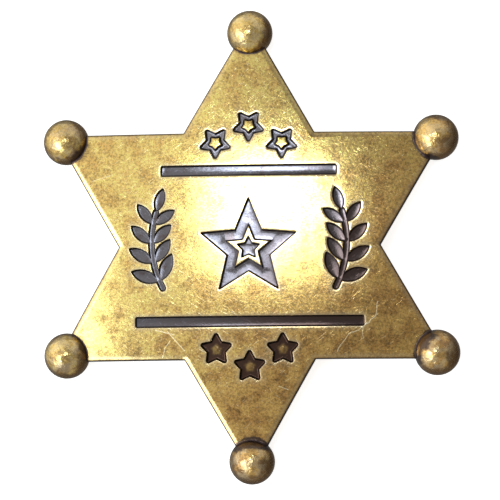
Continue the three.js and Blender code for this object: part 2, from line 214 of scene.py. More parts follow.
class Graph:
    """The nodes of a material, of the room's light or of a geometry tree."""

    def __init__(self, owner):
        self.owner = owner
        if hasattr(owner, "use_nodes"):
            owner.use_nodes = True
        self.tree = getattr(owner, "node_tree", owner)
        self.tree.nodes.clear()
        self.where = None

    def node(self, kind, inputs=None, **settings):
        """A new node's outputs by name; its settings are set before its inputs."""
        made = self.tree.nodes.new(kind)
        for key, value in settings.items():
            setattr(made, key, value)
        for key, value in (inputs or {}).items():
            target = made.inputs[key]
            if isinstance(value, Wire):
                self.tree.links.new(value.socket, target)
            else:
                target.default_value = value
        outputs = {}
        for socket in made.outputs:
            if socket.enabled and socket.name not in outputs:
                outputs[socket.name] = Wire(self, socket)
        return outputs

    def math(self, operation, a, b=None):
        inputs = {0: a}
        if b is not None:
            inputs[1] = b
        return self.node("ShaderNodeMath", inputs, operation=operation)["Value"]

    def blend(self, factor, a, b):
        """Colour a where the factor is 0 and b where it is 1."""
        return self.node(
            "ShaderNodeMix", {0: factor, 6: a, 7: b}, data_type="RGBA", clamp_factor=True,
        )["Result"]

    def shade(self, factor, tone):
        """The colour darkened or lightened by a number."""
        if isinstance(tone, tuple):
            tone = tone[:3]
        return self.node(
            "ShaderNodeVectorMath", {0: tone, "Scale": factor}, operation="SCALE",
        )["Vector"]

    def place(self):
        if self.where is None:
            self.where = self.node("ShaderNodeTexCoord")["Object"]
        return self.where

    def face_place(self):
        """Places across and up the face in millimetres."""
        split = self.node("ShaderNodeSeparateXYZ", {"Vector": self.place()})
        return split["X"] / MM, split["Y"] / MM

    def noise(self, size, detail, rough, shift=0.0):
        """Noise whose blots are about the given size in millimetres."""
        moved = self.node(
            "ShaderNodeVectorMath", {0: self.place(), 1: (shift * MM,) * 3}, operation="ADD",
        )["Vector"]
        return self.node("ShaderNodeTexNoise", {
            "Vector": moved, "Scale": 1.0 / (size * MM), "Detail": detail, "Roughness": rough,
        })["Fac"]

    def streaks(self, width, stretch, angle, shift):
        """Noise drawn out into short hairs of the given width, at an angle on the face."""
        turned = self.node("ShaderNodeMapping", {
            "Vector": self.place(),
            "Location": (shift * MM, 0.0, 0.0),
            "Rotation": (0.0, 0.0, math.radians(angle)),
            "Scale": (stretch, 1.0, 1.0),
        }, vector_type="TEXTURE")["Vector"]
        return self.node("ShaderNodeTexNoise", {
            "Vector": turned, "Scale": 1.0 / (width * MM), "Detail": 2.0,
        })["Fac"]

    def attribute(self, name):
        return self.node("ShaderNodeAttribute", attribute_name=name)["Fac"]

    def bump(self, height, distance, strength):
        return self.node("ShaderNodeBump", {
            "Height": height, "Distance": distance * MM, "Strength": strength,
        })["Normal"]

    def finish(self, inputs):
        shader = self.node("ShaderNodeBsdfPrincipled", inputs)["BSDF"]
        self.node("ShaderNodeOutputMaterial", {"Surface": shader})
        return self.owner


def segment_distance(x, y, start, end):
    """Distance in millimetres from the line between two points of the face."""
    across = (end[0] - start[0], end[1] - start[1])
    size = across[0] ** 2 + across[1] ** 2
    along = ((x - start[0]) * across[0] + (y - start[1]) * across[1]) * (1.0 / size)
    along = along.held()
    dx = x - start[0] - along * across[0]
    dy = y - start[1] - along * across[1]
    return (dx * dx + dy * dy).root()


# Brass

MASKS = ("depth", "wall", "halo", "crease", "ball", "neck")

# Start, end and width of each long scratch, in millimetres on the face
SCRATCHES = [
    ((17.2, -7.6), (17.0, -9.6), 0.055),
    ((17.0, -9.6), (13.5, -12.2), 0.05),
    ((13.5, -12.2), (11.8, -14.3), 0.045),
    ((4.0, -19.0), (5.4, -19.6), 0.05),
    ((15.2, -11.0), (15.3, -12.6), 0.04),
    ((-12.4, -11.5), (-9.7, -12.3), 0.045),
    ((-10.7, -11.8), (-8.7, -14.1), 0.05),
    ((-10.3, -13.1), (-11.6, -15.0), 0.04),
    ((7.6, 13.9), (6.4, 15.3), 0.035),
    ((-21.3, 8.9), (-18.9, 10.2), 0.035),
]


def brass_marks(graph):
    """What the parts of the brass finish share: the meshes' masks, places and noises."""
    masks = {name: graph.attribute(name) for name in MASKS}
    x, y = graph.face_place()
    clouds = graph.noise(8.0, 4.0, 0.6)
    speckle = graph.noise(0.34, 3.0, 0.75, 57.0)
    return SimpleNamespace(
        **masks, x=x, y=y, clouds=clouds, speckle=speckle,
        on_ball=masks["ball"].between(0.1, 0.3),
        # Grows towards the lower right of the face, where the brown and the stains gather
        toward_lower_right=(x * 0.8 - y * 0.7 + clouds * 16.0 - 8.0).between(-8.0, 16.0),
        blots=graph.noise(2.8, 4.0, 0.62, 31.0),
        flecks=graph.noise(0.9, 3.0, 0.7, 71.0),
        grains=graph.noise(0.16, 2.0, 0.7, 83.0),
        dots=speckle.between(0.62, 0.70),
    )


def rubbed_brass(graph, marks):
    """Brass with brown clouds, copper flecks and dark grit, browner towards the lower right, and
    with stains on the balls that hold painted shade on their lower and right sides.
    """
    brown = (marks.toward_lower_right * 0.70 + marks.blots.between(0.46, 0.66) * 0.5).held()
    tone = graph.blend(brown, paint("brass"), paint("brown"))
    tone = graph.blend(marks.flecks.between(0.5, 0.68) * 0.35, tone, paint("copper"))
    grit = marks.speckle.between(0.36, 0.62) * 0.5 + marks.grains.between(0.34, 0.66) * 0.3
    grit = grit + marks.flecks.between(0.35, 0.65) * 0.2
    grit = grit + (marks.blots.between(0.62, 0.38) - 0.5) * 0.22
    low_blots = marks.blots.between(0.48, 0.66) * marks.y.between(-4.0, -12.0)
    tone = graph.shade(0.45 + grit * 1.10 - low_blots * 0.16, tone)
    tone = graph.shade(1.0 - marks.dots * 0.3, tone)
    # Stains with painted shade: more on the lower part and the right side of each ball
    stain_and_shade = marks.blots * 1.9 + marks.ball + marks.toward_lower_right * 0.15 - 0.46
    stain_and_shade = stain_and_shade.between(1.0, 1.3) * marks.on_ball
    tone = graph.blend(stain_and_shade * 0.85, tone, paint("copper"))
    tone = graph.blend(marks.on_ball * 0.22, tone, paint("brown"))
    return graph.shade(1.0 - marks.on_ball * 0.04 - stain_and_shade * 0.4, tone)


def scratch_mask(graph, marks):
    """Fine hairs all over, and the long scratches, which sway a little."""
    hairs = graph.streaks(0.12, 14.0, 38.0, 5.0).most(graph.streaks(0.11, 12.0, -31.0, 9.0))
    mask = hairs.between(0.65, 0.74) * 0.6
    sway = marks.clouds * 2.4 - 1.2
    x = marks.x + sway
    y = marks.y - sway
    for start, end, width in SCRATCHES:
        line = segment_distance(x, y, start, end)
        mask = mask.most(line.between(width * 2.2, width * 0.3) * 0.8)
    return mask


def floor_stains(graph, marks):
    """Brown on the figures' floors, most towards the lower right and in the lower stars."""
    spots = graph.noise(1.5, 3.0, 0.6, 19.0).between(0.52, 0.72) * 0.5
    return spots.most(marks.toward_lower_right * 0.8).most(marks.y.between(-10.8, -12.2) * 0.95)


def figure_floor(graph, marks, stains):
    """Dark patina, paler in the upper stars, under the brown stains."""
    upper_stars = marks.y.between(10.5, 12.5) * 0.8
    level = 0.45 + marks.grains * 0.5 + marks.speckle * 0.6 + upper_stars
    return graph.blend(stains, graph.shade(level, paint("patina")), paint("stain"))


def brass_material():
    """Rubbed antique brass with a dark finish in the figures, painted highlight on its rims and
    ball tops, and painted shade on its walls, necks and edge.
    """
    graph = Graph(bpy.data.materials.new("antique_brass"))
    marks = brass_marks(graph)
    on_ball = marks.on_ball
    scratch = scratch_mask(graph, marks)
    stains = floor_stains(graph, marks)
    in_figure = marks.depth.between(0.55, 0.9)

    # Painted highlight, partly rubbed wear: the figures' rims, the edge band and the balls' tops
    # are lightened, as are the scratches
    ball_top = marks.ball.between(0.95, 0.5) * on_ball
    # Lighter patches on the balls' tops: rubbed spots and a painted highlight
    rubbed_spots_and_sheen = graph.noise(1.3, 3.0, 0.6, 23.0).between(0.44, 0.56)
    polish_and_sheen = scratch * 0.75 + marks.halo * 0.5 + ball_top * (rubbed_spots_and_sheen * 0.3 + 0.06)
    tone = graph.blend(polish_and_sheen, rubbed_brass(graph, marks), paint("polish_and_sheen"))
    tone = graph.blend(in_figure, tone, figure_floor(graph, marks, stains))
    # Painted shade: the figures' walls are darkened to near black
    dark = marks.wall.between(0.18, 0.6) * marks.depth.between(0.12, 0.4)
    tone = graph.blend(dark, tone, paint("wall_shade"))
    # Dirt with painted shade at the balls' necks, in their fillets and along the plate's edge
    dirt_and_shade = marks.neck + marks.blots * 0.9 + marks.toward_lower_right * 0.3
    dirt_and_shade = dirt_and_shade.between(1.45, 1.65) * 0.9
    tone = graph.blend(marks.crease.most(dirt_and_shade), tone, paint("dirt_and_shade"))

    rough = 0.10 + marks.clouds * 0.05 + marks.dots * 0.12 + marks.grains * 0.05 + on_ball * 0.09
    rough = rough * (1.0 - in_figure * 0.4) + marks.crease * 0.2 + scratch * 0.16
    dents = graph.noise(1.9, 3.0, 0.55, 47.0) * on_ball * 44.0 + marks.clouds * 4.0
    height = marks.speckle * 0.6 + marks.grains * 0.4 + scratch * 0.5 + dents
    lacquer = 0.68 - on_ball * 0.18 - marks.crease * 0.45 - in_figure * stains * 0.45
    return graph.finish({
        "Base Color": tone,
        "Metallic": 1.0,
        "Roughness": rough,
        "Normal": graph.bump(height, 0.012, 0.6),
        "Coat Weight": lacquer,
        "Coat Roughness": 0.2,
    })


# Pin and floor finishes

def pin_material():
    """Dull plated metal with fine dark grains."""
    graph = Graph(bpy.data.materials.new("pin_plating"))
    clouds = graph.noise(5.0, 4.0, 0.6)
    grains = graph.noise(0.3, 3.0, 0.6, 21.0)
    tone = graph.shade(0.75 + clouds * 0.4 - grains.between(0.55, 0.75) * 0.2, paint("pin"))
    return graph.finish({
        "Base Color": tone,
        "Metallic": 1.0,
        "Roughness": 0.34 + grains * 0.12,
        "Normal": graph.bump(grains, 0.012, 0.5),
    })


def floor_material():
    graph = Graph(bpy.data.materials.new("pale_floor"))
    grain = graph.noise(1.5, 2.0, 0.5)
    return graph.finish({
        "Base Color": graph.shade(0.99 + grain * 0.01, paint("floor")),
        "Roughness": 0.9,
        "Emission Color": paint("floor"),
        "Emission Strength": 0.86,
        "Specular IOR Level": 0.1,
    })


# Distances to the sunken figures, below zero inside them

# Lengths in millimetres; FIRST_PAIR is a share of the step from pair to pair of leaves
FAR = 9.0
NEAR_FIGURE = 2.5
BAR_CORNER = 0.22
SPRAY_HALF_SIZE = (4.6, 7.6)
LEAF_PAIRS = 4
FIRST_PAIR = 0.36
LEAF_FOOT = 0.2
LEAF_TAPER = 0.2
GROOVE_SHARE = 0.55


def heading(angle):
    return np.array((math.cos(angle), math.sin(angle)))


def star_corners(centre, radius, waist, pointing_up, points=SMALL_STAR_POINTS):
    first = math.pi / 2 if pointing_up else -math.pi / 2
    corners = []
    for k in range(2 * points):
        reach = radius * waist if k % 2 else radius
        corners.append(centre + reach * heading(first + k * math.pi / points))
    return np.array(corners)


def polygon_distance(points, corners):
    nearest = np.full(len(points), 1e9)
    inside = np.zeros(len(points), bool)
    for a, edge in zip(corners, np.roll(corners, -1, axis=0) - corners):
        reach = points - a
        along = np.clip(reach @ edge / (edge @ edge), 0, 1)
        gap = reach - along[:, None] * edge
        nearest = np.minimum(nearest, (gap ** 2).sum(1))
        above = points[:, 1] >= a[1]
        below_next = points[:, 1] < a[1] + edge[1]
        left = edge[0] * reach[:, 1] > edge[1] * reach[:, 0]
        inside ^= (above & below_next & left) | (~above & ~below_next & ~left)
    nearest = np.sqrt(nearest)
    return np.where(inside, -nearest, nearest)


def star_distance(points, *star):
    return polygon_distance(points, star_corners(*star))


def bar_distance(points, centre, half):
    gap = np.abs(points - centre) - (half[0] - BAR_CORNER, half[1] - BAR_CORNER)
    outside = np.hypot(np.maximum(gap[:, 0], 0), np.maximum(gap[:, 1], 0))
    return outside + np.minimum(gap.max(1), 0) - BAR_CORNER


def leaf_distance(points, foot, angle, size, width):
    """A leaf between two arcs that meet at its tips."""
    along = heading(angle)
    across = np.array((-along[1], along[0]))
    reach = points - (foot + along * size / 2)
    u = np.abs(reach @ along)
    v = np.abs(reach @ across)
    half = size / 2
    radius = (half ** 2 + (width / 2) ** 2) / width
    drop = radius - width / 2
    at_tip = (u - half) * drop > v * half
    return np.where(at_tip, np.hypot(v, u - half), np.hypot(v + drop, u) - radius)


def stem_distance(points, centre, radius, start, end, width):
    reach = points - centre
    middle = (start + end) / 2
    angle = np.arctan2(reach[:, 1], reach[:, 0]) - middle
    angle = np.clip(angle, (start - end) / 2, (end - start) / 2) + middle
    near = np.stack([np.cos(angle), np.sin(angle)], 1) * radius + centre
    return np.hypot(*(points - near).T) - width / 2


def spray_distance(points, s, side):
    """A curved stem with pairs of leaves and one leaf at its end."""
    points = points * (side, 1.0)
    centre = np.array((s.spray_x, s.spray_y))
    nearest = stem_distance(
        points, centre, s.spray_curve, s.spray_start, s.spray_end, s.spray_stem,
    )
    leaves = [(1.0, 0.0)]
    for k in range(LEAF_PAIRS):
        for spread in (s.leaf_spread, -s.leaf_spread):
            leaves.append(((k + FIRST_PAIR) / LEAF_PAIRS, spread))
    for step, spread in leaves:
        angle = s.spray_start + (s.spray_end - s.spray_start) * step
        pointing = angle + math.pi / 2 + spread
        foot = centre + s.spray_curve * heading(angle) + LEAF_FOOT * heading(pointing)
        size = 1 - LEAF_TAPER * step
        nearest = np.minimum(nearest, leaf_distance(
            points, foot, pointing, s.leaf_length * size, s.leaf_width * size,
        ))
    return nearest


def big_star_distance(points, s):
    """A star-shaped band with a small star inside it."""
    centre = (0.0, -s.big_drop)
    inner_corner = s.big_waist * heading(math.pi / SMALL_STAR_POINTS)
    edge_share = inner_corner[1] / math.hypot(1 - inner_corner[0], inner_corner[1])
    inner_radius = s.big_star - s.big_band / edge_share
    outer = star_distance(points, centre, s.big_star, s.big_waist, True)
    inner = star_distance(points, centre, inner_radius, s.big_waist, True)
    heart = star_distance(points, centre, s.heart_star, s.small_waist, True)
    return np.minimum(np.maximum(outer, -inner), heart)


def small_star_distance(points, s, centre, upper):
    """A small star; an upper one leaves a star-shaped boss standing in it."""
    radius = s.small_star - s.small_round
    star = star_distance(points, centre, radius, s.small_waist, not upper) - s.small_round
    if upper:
        round_off = s.small_round / 2
        boss = star_distance(points, centre, s.upper_boss - round_off, s.boss_waist, False)
        star = np.maximum(star, round_off - boss)
    # Inside, a share of the distance lets the wall lean further in, as in a round groove
    return np.where(star < 0, star * GROOVE_SHARE, star)


def small_star_places(s):
    """Centre of each small star, and whether it is an upper one."""
    for side in (-1, 0, 1):
        reach = s.middle_star_y if side == 0 else s.side_star_y
        for upper in (True, False):
            yield (side * s.side_star_x, reach if upper else -reach), upper


def lower_bosses(s):
    return [centre for centre, upper in small_star_places(s) if not upper]


def figures(s):
    """Each figure's middle, half size and distance function."""
    found = []
    for y, size in ((s.bar_y, s.upper_bar), (-s.bar_y, s.lower_bar)):
        half = (size / 2, s.bar_width / 2)
        found.append(((0, y), half, partial(bar_distance, centre=(0, y), half=half)))
    half = (s.big_star, s.big_star)
    found.append(((0, -s.big_drop), half, partial(big_star_distance, s=s)))
    for side in (-1, 1):
        middle = (side * s.spray_curve, 0.0)
        found.append((middle, SPRAY_HALF_SIZE, partial(spray_distance, s=s, side=side)))
    half = (s.small_star, s.small_star)
    for centre, upper in small_star_places(s):
        distance = partial(small_star_distance, s=s, centre=centre, upper=upper)
        found.append((centre, half, distance))
    return found


def nearest_figure(points, s):
    nearest = np.full(len(points), FAR)
    for middle, half, distance in figures(s):
        close = (np.abs(points - middle) < np.array(half) + NEAR_FIGURE).all(1)
        nearest[close] = np.minimum(nearest[close], distance(points[close]))
    return nearest


# Height of the front face

def sunken_share(distance, s):
    """0 on the face, 1 on the floor of a figure."""
    t = np.clip((s.shoulder - distance) / (s.shoulder + s.foot), 0, 1)
    return t * t * (3 - 2 * t)


def dish(points, s):
    drop = s.dish_radius - np.sqrt(s.dish_radius ** 2 - (points ** 2).sum(1))
    return s.ball_z + s.dish_rise - drop


def front_height(points, s):
    height = dish(points, s) + s.plate_thickness / 2
    height -= s.relief_depth * sunken_share(nearest_figure(points, s), s)
    for centre in lower_bosses(s):
        reach = np.hypot(*(points - centre).T) / s.lower_boss
        height += s.lower_boss_height * np.clip(1 - reach ** 2, 0, 1) ** 1.4
    return height


def units(vectors):
    return vectors / np.linalg.norm(vectors, axis=1)[:, None]


def front_normals(points, s):
    step = 0.01
    right = front_height(points + (step, 0), s) - front_height(points - (step, 0), s)
    up = front_height(points + (0, step), s) - front_height(points - (0, step), s)
    return units(np.stack([-right / (2 * step), -up / (2 * step), np.ones(len(points))], 1))


# Lines of equal distance, traced on a grid

GRID = 0.05
GRID_MARGIN = 0.8
GRID_SHIFT = (0.0131, 0.0077)
RING_ROUND_FIGURE = 0.42
WALL_STEPS = 8
BOSS_RINGS = (1.0, 0.85, 0.6, 0.3)
BOSS_SIDES = 24


def traced_loops(values, xs, ys, level):
    """Closed lines along which the values on the grid are at the level."""
    field = values - level
    field[field == 0] = 1e-9
    inside = field < 0
    crossings = {}
    joined = {}

    def crossing(here, there):
        if (here, there) not in crossings:
            t = field[here] / (field[here] - field[there])
            crossings[here, there] = (
                xs[here[1]] + t * (xs[there[1]] - xs[here[1]]),
                ys[here[0]] + t * (ys[there[0]] - ys[here[0]]),
            )
        return here, there

    cells = inside[:-1, :-1] * 1 + inside[:-1, 1:] + inside[1:, 1:] + inside[1:, :-1]
    for i, j in np.argwhere((cells > 0) & (cells < 4)):
        a, b, c, d = (i, j), (i, j + 1), (i + 1, j + 1), (i + 1, j)
        sides = ((a, b), (b, c), (d, c), (a, d))
        cut = [crossing(*side) for side in sides if inside[side[0]] != inside[side[1]]]
        for k in range(0, len(cut) - 1, 2):
            joined.setdefault(cut[k], []).append(cut[k + 1])
            joined.setdefault(cut[k + 1], []).append(cut[k])
    loops = []
    while joined:
        start = next(iter(joined))
        loop = [start]
        here = start
        while joined.get(here):
            onward = joined[here].pop()
            joined[onward].remove(here)
            if not joined[here]:
                del joined[here]
            here = onward
            if here == start:
                break
            loop.append(here)
        joined = {key: value for key, value in joined.items() if value}
        if len(loop) > 5:
            loops.append(np.array([crossings[key] for key in loop]))
    return loops


def thinned(loop, tolerance, longest):
    """The loop with fewer points where it runs straight."""
    far = int(np.argmax(((loop - loop[0]) ** 2).sum(1)))
    ring = np.vstack([loop, loop[:1]])
    keep = {0, far, len(loop)}
    stack = [(0, far), (far, len(loop))]
    while stack:
        a, b = stack.pop()
        if b - a < 2:
            continue
        chord = ring[b] - ring[a]
        size = max(np.hypot(*chord), 1e-9)
        between = ring[a + 1:b] - ring[a]
        off = np.abs(between[:, 0] * chord[1] - between[:, 1] * chord[0]) / size
        worst = int(np.argmax(off))
        if off[worst] > tolerance:
            middle = a + 1 + worst
        elif size > longest:
            middle = (a + b) // 2
        else:
            continue
        keep.add(middle)
        stack += [(a, middle), (middle, b)]
    return ring[sorted(keep)][:-1]


def figure_loops(s):
    """Closed lines that follow every figure's rim, wall and floor."""
    levels = [RING_ROUND_FIGURE]
    for k in range(WALL_STEPS + 1):
        levels.append(s.shoulder - (s.shoulder + s.foot) * k / WALL_STEPS)
    loops = []
    for middle, half, distance in figures(s):
        # The shift keeps the grid's lines off the figures' straight sides
        xs, ys = (
            np.arange(m - h - GRID_MARGIN, m + h + GRID_MARGIN, GRID) + shift
            for m, h, shift in zip(middle, half, GRID_SHIFT)
        )
        points = np.stack(np.meshgrid(xs, ys), -1).reshape(-1, 2)
        values = distance(points).reshape(len(ys), len(xs))
        for level in levels:
            for loop in traced_loops(values, xs, ys, level):
                loops.append(thinned(loop, tolerance=0.004, longest=0.7))
    angles = np.arange(BOSS_SIDES) * math.tau / BOSS_SIDES
    circle = np.stack([np.cos(angles), np.sin(angles)], 1)
    for centre in lower_bosses(s):
        loops += [circle * s.lower_boss * part + centre for part in BOSS_RINGS]
    return loops


# Star plate

# Spacing of the mesh's points, and how far loose points stay clear of lines
BORDER_SPACING = 0.5
FRONT_SPACING = 0.9
BACK_SPACING = 1.6
CLEAR_OF_EDGE = 0.35
CLEAR_OF_FIGURES = 0.65
CLEAR_OF_BACK_EDGE = 1.0

# Widths over which bright rims, rubbed bright and partly a painted highlight, and dirt with
# painted shade fade
RIM_FADE = 0.34
BOSS_FADE = 0.2
BALL_DIRT_AND_SHADE = 0.2
EDGE_DIRT_AND_SHADE = 0.14
NECK_DIRT_AND_SHADE = 0.6


def star_outline(s):
    """The star's corners; its points run on inside the balls."""
    return star_corners((0.0, 0.0), s.tip_radius, 1 / math.sqrt(3), True, BALL_COUNT)


def star_inset(points, s):
    """Distance of each point from the star's outline, above zero inside."""
    return -polygon_distance(points, star_outline(s))


def outline_points(s, spacing):
    """Points along the star's outline with the outward direction of each.

    In a corner it is the mean of both edges' directions, shorter than the others.
    """
    corners = star_outline(s)
    edges = np.roll(corners, -1, axis=0) - corners
    lengths = np.hypot(*edges.T)
    away = np.stack([edges[:, 1], -edges[:, 0]], 1) / lengths[:, None]
    points = []
    outward = []
    for k, corner in enumerate(corners):
        count = max(2, round(lengths[k] / spacing))
        for i in range(count):
            points.append(corner + edges[k] * i / count)
            outward.append(away[k] if i else (away[k] + away[k - 1]) / 2)
    return np.array(points), np.array(outward)


def ball_centre(s, k):
    return s.ball_circle * heading(math.pi / 2 + k * math.tau / BALL_COUNT)


def lattice(s, spacing):
    xs = np.arange(-s.tip_radius, s.tip_radius, spacing)
    ys = np.arange(-s.tip_radius, s.tip_radius, spacing * math.sqrt(3) / 2)
    return np.array([(x, y) for k, y in enumerate(ys) for x in xs + k % 2 * spacing / 2])


def filled(loops, extra):
    """Triangles between closed loops and loose points; the first loop is the border."""
    points = [tuple(p) for loop in loops for p in loop]
    edges = []
    start = 0
    for loop in loops:
        count = len(loop)
        edges += [(start + k, start + (k + 1) % count) for k in range(count)]
        start += count
    points += [tuple(p) for p in extra]
    verts, _, faces, *_ = delaunay_2d_cdt([Vector(p) for p in points], edges, [], 1, 1e-6)
    return np.array([tuple(v) for v in verts]), [tuple(face) for face in faces]


def new_piece(name, vertices, faces, material):
    mesh = bpy.data.meshes.new(name)
    mesh.from_pydata([tuple(v) for v in np.asarray(vertices) * MM], [], faces)
    mesh.materials.append(material)
    mesh.update()
    piece = bpy.data.objects.new(name, mesh)
    bpy.context.scene.collection.objects.link(piece)
    return piece


def store_masks(mesh, **masks):
    for name, values in masks.items():
        layer = mesh.attributes.new(name, "FLOAT", "POINT")
        layer.data.foreach_set("value", np.asarray(values, dtype=np.float32))


def plate_edge(s):
    """Inset, height and normal (outward, up) of the lines round the plate's edge.

    They run from the face over the rolled edge to the back.
    """
    half = s.plate_thickness / 2
    leans = 4
    turns = 6
    lines = []
    for k in range(leans + 1):
        lean = s.edge_lean * k / leans
        t = math.tan(lean) / math.tan(s.edge_lean)
        drop = math.tan(s.edge_lean) * s.edge_roll * t * t / 2
        inset = s.edge_width - s.edge_roll * t
        lines.append((inset, half - drop, math.sin(lean), math.cos(lean)))
    rolled = drop + s.edge_round * math.cos(s.edge_lean)
    for k in range(1, turns + 1):
        lean = s.edge_lean + (math.pi / 2 - s.edge_lean) * k / turns
        inset = s.edge_round * (1 - math.sin(lean))
        drop = rolled - s.edge_round * math.cos(lean)
        lines.append((inset, half - drop, math.sin(lean), math.cos(lean)))
    for k in range(leans + 1):
        lean = math.pi / 2 * k / leans
        inset = s.edge_round * (1 - math.cos(lean))
        rise = s.edge_round * (1 - math.sin(lean))
        lines.append((inset, rise - half, math.cos(lean), -math.sin(lean)))
    return lines


def plate_shell(s):
    """Vertices, normals and faces of the plate: its face, its edge and its back."""
    border, outward = outline_points(s, BORDER_SPACING)
    lines = plate_edge(s)
    rings = []
    for inset, height, _, _ in lines:
        # Every side lies half a tip radius from the middle, so scaling moves all in evenly
        flat = border * (1 - 2 * inset / s.tip_radius)
        rings.append(np.column_stack([flat, dish(flat, s) + height]))

    extra = lattice(s, FRONT_SPACING)
    extra = extra[star_inset(extra, s) > s.edge_width + CLEAR_OF_EDGE]
    extra = extra[nearest_figure(extra, s) > CLEAR_OF_FIGURES]
    front, faces = filled([rings[0][:, :2], *figure_loops(s)], extra)
    extra = lattice(s, BACK_SPACING)
    extra = extra[star_inset(extra, s) > CLEAR_OF_BACK_EDGE]
    back, back_faces = filled([rings[-1][:, :2]], extra)

    vertices = [np.column_stack([front, front_height(front, s)])]
    normals = [front_normals(front, s)]
    for ring, (_, _, out, up) in zip(rings, lines):
        slope = ring[:, :2] / s.dish_radius
        vertices.append(ring)
        normals.append(units(np.column_stack([
            outward * out + slope * up, np.full(len(ring), up),
        ])))
    start = len(front)
    count = len(border)
    for upper in range(start, start + (len(rings) - 1) * count, count):
        lower = upper + count
        for k in range(count):
            onward = (k + 1) % count
            faces.append((upper + k, lower + k, lower + onward, upper + onward))
    start += len(rings) * count
    vertices.append(np.column_stack([back, dish(back, s) - s.plate_thickness / 2]))
    normals.append(units(np.column_stack([-back / s.dish_radius, np.full(len(back), -1.0)])))
    faces += [tuple(start + v for v in reversed(face)) for face in back_faces]
    return np.vstack(vertices), np.vstack(normals), faces


def store_plate_masks(mesh, vertices, s):
    """Marks the figures, their bright rims, rubbed bright and partly a painted highlight, and the
    dirt with painted shade round balls and edge.
    """
    flat = vertices[:, :2]
    under_figures = dish(flat, s) + s.plate_thickness / 2 - s.relief_depth * 1.2
    in_front = vertices[:, 2] > under_figures
    distance = np.where(in_front, nearest_figure(flat, s), FAR)
    sunken = sunken_share(distance, s)
    depth = sunken.copy()
    # Bright rims round the figures, rubbed bright and partly a painted highlight
    rim = np.clip(1 - (distance - s.shoulder) / RIM_FADE, 0, 1) * (distance > 0)
    for centre, upper in small_star_places(s):
        reach = np.hypot(*(flat - centre).T)
        rim *= np.clip((reach - s.upper_boss) / BOSS_FADE, 0, 1)
        if not upper:
            depth *= 1 - np.clip(1.3 - reach / s.lower_boss, 0, 0.25)
    inset = np.abs(star_inset(flat, s))
    # The edge band is lightened too, rubbed bright and partly a painted highlight
    along_edge = np.clip(1 - np.abs(2 * inset / s.edge_width - 1), 0, 1)
    from_ball = np.full(len(flat), FAR)
    for k in range(BALL_COUNT):
        reach = np.hypot(*(flat - ball_centre(s, k)).T)
        from_ball = np.minimum(from_ball, reach - s.ball_radius)
    # Dirt with painted shade round the balls' necks and along the edge
    at_ball = np.clip(1 - from_ball / BALL_DIRT_AND_SHADE, 0, 1) * 0.7
    at_edge = np.clip(1.7 - inset / EDGE_DIRT_AND_SHADE, 0, 1)
    store_masks(
        mesh, depth=depth, wall=4 * sunken * (1 - sunken),
        halo=np.maximum(rim, 0.5 * along_edge), crease=np.maximum(at_ball, at_edge),
        ball=np.zeros(len(flat)), neck=np.clip(1.2 - from_ball / NECK_DIRT_AND_SHADE, 0, 1.2),
    )


def make_star_plate(material):
    s = sizes()
    vertices, normals, faces = plate_shell(s)
    piece = new_piece("star_plate", vertices, faces, material)
    store_plate_masks(piece.data, vertices, s)
    weld_keeping_normals(piece.data, normals)
    return piece


def weld_keeping_normals(mesh, normals):
    """Joins double points and gives each corner the normal worked out for its place."""
    layer = mesh.attributes.new("worked_normal", "FLOAT_VECTOR", "POINT")
    layer.data.foreach_set("vector", np.asarray(normals, dtype=np.float32).ravel())
    work = bmesh.new()
    work.from_mesh(mesh)
    bmesh.ops.remove_doubles(work, verts=work.verts, dist=2e-6)
    work.to_mesh(mesh)
    work.free()
    mesh.shade_smooth()
    kept = np.zeros(len(mesh.vertices) * 3, dtype=np.float32)
    mesh.attributes["worked_normal"].data.foreach_get("vector", kept)
    mesh.normals_split_custom_set_from_vertices(kept.reshape(-1, 3).tolist())
    mesh.attributes.remove(mesh.attributes["worked_normal"])


# Ball tips

def neck_section(s, reach):
    """Outline of the star point's cross-section, reach inwards from the ball's middle."""
    half_width = (s.point_reach + reach) * math.tan(math.pi / 6)
    right = [(half_width - inset, z, out, up) for inset, z, out, up in plate_edge(s)]
    left = [(-x, z, -out, up) for x, z, out, up in reversed(right)]
    steps = 12
    outline = []
    for side, onward in ((left, right), (right, left)):
        outline += side
        start, end = side[-1], onward[0]
        for k in range(1, steps):
            x = start[0] + (end[0] - start[0]) * k / steps
            outline.append((x, start[1], 0.0, start[3]))
    return outline


def neck_point(s, index, reach):
    """Place and direction of one point of that outline, with the ball at the origin."""
    x, z, nx, nz = neck_section(s, reach)[index]
    slope = s.ball_circle / s.dish_radius
    return Vector((x, -reach, z + slope * reach)), Vector((nx, -0.3 * abs(nx), nz)).normalized()


def ball_shell(s):
    """Vertices and faces of a ball with its flat."""
    bands = 30
    sides = 56
    flat_angle = math.asin(s.ball_flat / s.ball_radius)
    vertices = [(0.0, 0.0, -s.ball_z)]
    for k in range(bands):
        angle = flat_angle + (math.pi - flat_angle) * k / bands
        for i in range(sides):
            x, y = s.ball_radius * math.sin(angle) * heading(math.tau * i / sides)
            vertices.append((x, y, -s.ball_radius * math.cos(angle)))
    top = len(vertices)
    vertices.append((0.0, 0.0, s.ball_radius))
    last = top - sides
    faces = []
    for i in range(sides):
        onward = (i + 1) % sides
        faces.append((0, 1 + onward, 1 + i))
        for low in range(1, last, sides):
            high = low + sides
            faces.append((low + i, low + onward, high + onward, high + i))
        faces.append((last + i, last + onward, top))
    return vertices, faces


